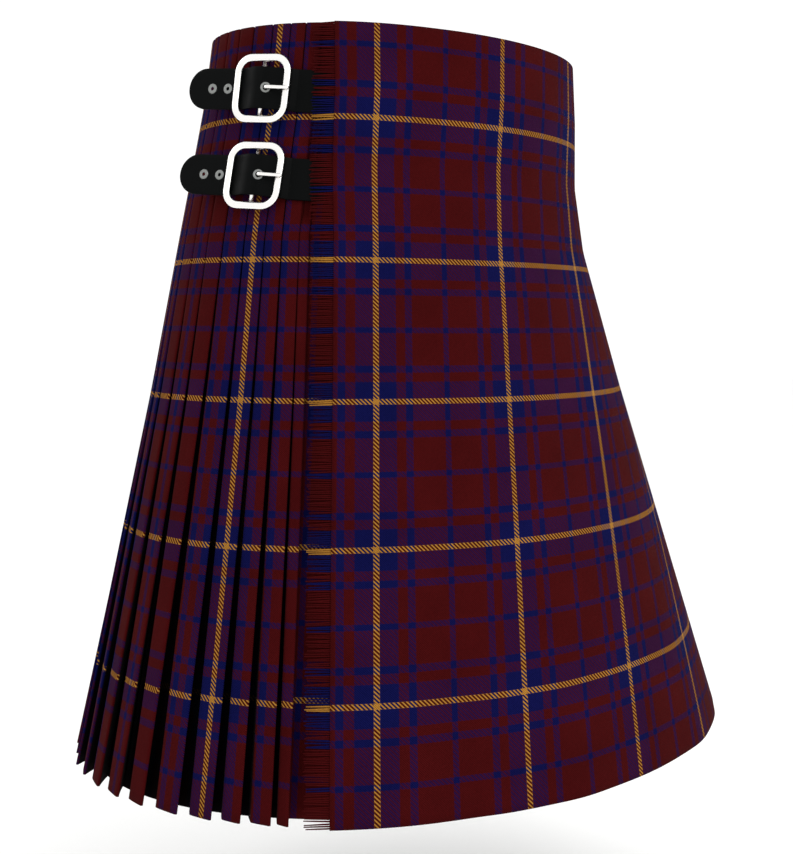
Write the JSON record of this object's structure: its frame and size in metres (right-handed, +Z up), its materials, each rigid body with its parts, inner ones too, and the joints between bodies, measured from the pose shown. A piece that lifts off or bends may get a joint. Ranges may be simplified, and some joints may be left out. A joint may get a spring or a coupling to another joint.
{
  "type": "scottish kilt",
  "caption": "Pleated tartan kilt with a fringed front apron, leather straps and rounded buckles, held open and filled out as worn.",
  "frame": {"origin": "middle of the waist, level with the upper strap", "axes": "+Z up, the wearer faces -Y, the wearer's right hip is at -X"},
  "size_m": [0.6474, 0.5219, 0.6159],
  "materials": {
    "tartan": "matt twill wool, dark red, blue and yellow check",
    "fringe": "frayed wool yarn",
    "strap_leather": "smooth black, semi-matt",
    "buckle_metal": "bright polished"
  },
  "bodies": {
    "root": {"over_apron": "tartan", "under_apron": "tartan", "apron_fringe": "fringe", "pleat_01": "tartan", "pleat_02": "tartan", "pleat_03": "tartan", "pleat_04": "tartan", "pleat_05": "tartan", "pleat_06": "tartan", "pleat_07": "tartan", "pleat_08": "tartan", "pleat_09": "tartan", "pleat_10": "tartan", "pleat_11": "tartan", "pleat_12": "tartan", "pleat_13": "tartan", "pleat_14": "tartan", "pleat_15": "tartan", "pleat_16": "tartan", "pleat_17": "tartan", "pleat_18": "tartan", "pleat_19": "tartan", "pleat_20": "tartan", "pleat_21": "tartan", "pleat_22": "tartan", "pleat_23": "tartan", "pleat_24": "tartan", "pleat_25": "tartan", "pleat_26": "tartan", "pleat_27": "tartan", "pleat_28": "tartan", "pleat_29": "tartan", "pleat_30": "tartan", "pleat_31": "tartan", "pleat_32": "tartan", "pleat_33": "tartan", "pleat_34": "tartan", "pleat_35": "tartan", "pleat_36": "tartan", "pleat_37": "tartan", "pleat_38": "tartan", "pleat_39": "tartan", "pleat_40": "tartan", "strap_upper": "strap_leather", "chape_upper": "strap_leather", "buckle_upper": "buckle_metal", "tongue_upper": "buckle_metal", "strap_lower": "strap_leather", "chape_lower": "strap_leather", "buckle_lower": "buckle_metal", "tongue_lower": "buckle_metal", "strap_left": "strap_leather", "chape_left": "strap_leather", "buckle_left": "buckle_metal", "tongue_left": "buckle_metal"}
  },
  "joints": []
}
